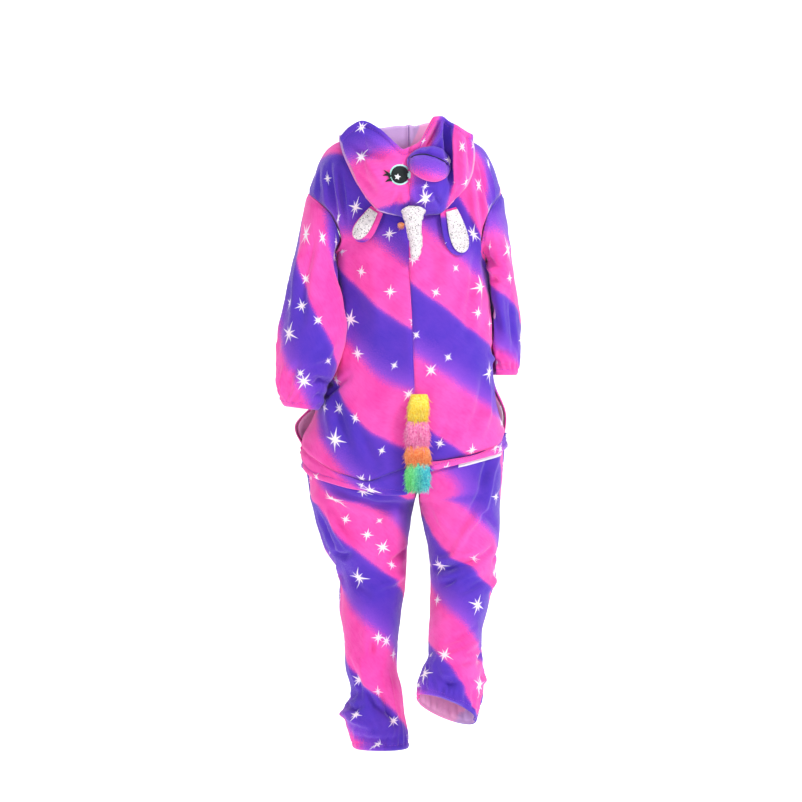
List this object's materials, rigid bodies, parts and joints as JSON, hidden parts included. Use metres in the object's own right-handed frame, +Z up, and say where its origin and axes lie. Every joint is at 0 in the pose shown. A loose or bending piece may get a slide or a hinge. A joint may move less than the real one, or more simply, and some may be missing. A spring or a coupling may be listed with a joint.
{
  "type": "unicorn onesie",
  "caption": "Hooded one-piece plush animal costume in worn form, hood thrown back with stuffed horn, ears and snout, fur tail, side pockets, gathered cuffs and a seat flap.",
  "frame": {"origin": "middle of the neck opening at the height of the shoulders that hold the garment up", "axes": "+Z up the standing garment, the front faces -Y, the wearer's left is +X"},
  "size_m": [0.5379, 0.3401, 1.3761],
  "materials": {
    "plush": "brushed flannel plush, pink and violet diagonal bands with white stars",
    "plush_reverse": "paler wrong side of the plush",
    "glitter": "silver white glitter cloth",
    "fur_yellow": "long pile fur",
    "fur_pink": "long pile fur",
    "fur_orange": "long pile fur",
    "fur_green": "long pile fur",
    "black_applique": "black applique and cord",
    "tape": "white cotton tape",
    "button": "satin"
  },
  "bodies": {
    "root": {"front_left": "plush", "front_right": "plush", "back_left": "plush", "back_right": "plush", "band_left": "plush", "band_right": "plush", "seat_left": "plush", "seat_right": "plush", "sleeve_left": "plush", "sleeve_right": "plush", "hood_left": "plush", "hood_right": "plush", "pocket_left": "plush", "pocket_right": "plush", "snout": "plush", "mouth": "black_applique", "eye_left": "black_applique", "ear_left_outer": "plush", "ear_left_inner": "glitter", "eye_right": "black_applique", "ear_right_outer": "plush", "ear_right_inner": "glitter", "horn": "glitter", "mane_tuft": "fur_orange", "tail_yellow": "fur_yellow", "tail_pink": "fur_pink", "tail_orange": "fur_orange", "tail_green": "fur_green", "seat_tape": "tape", "placket": "plush", "button_1": "button", "button_2": "button", "button_3": "button", "button_4": "button", "button_5": "button", "button_6": "button", "button_7": "button", "button_8": "button"}
  },
  "joints": []
}
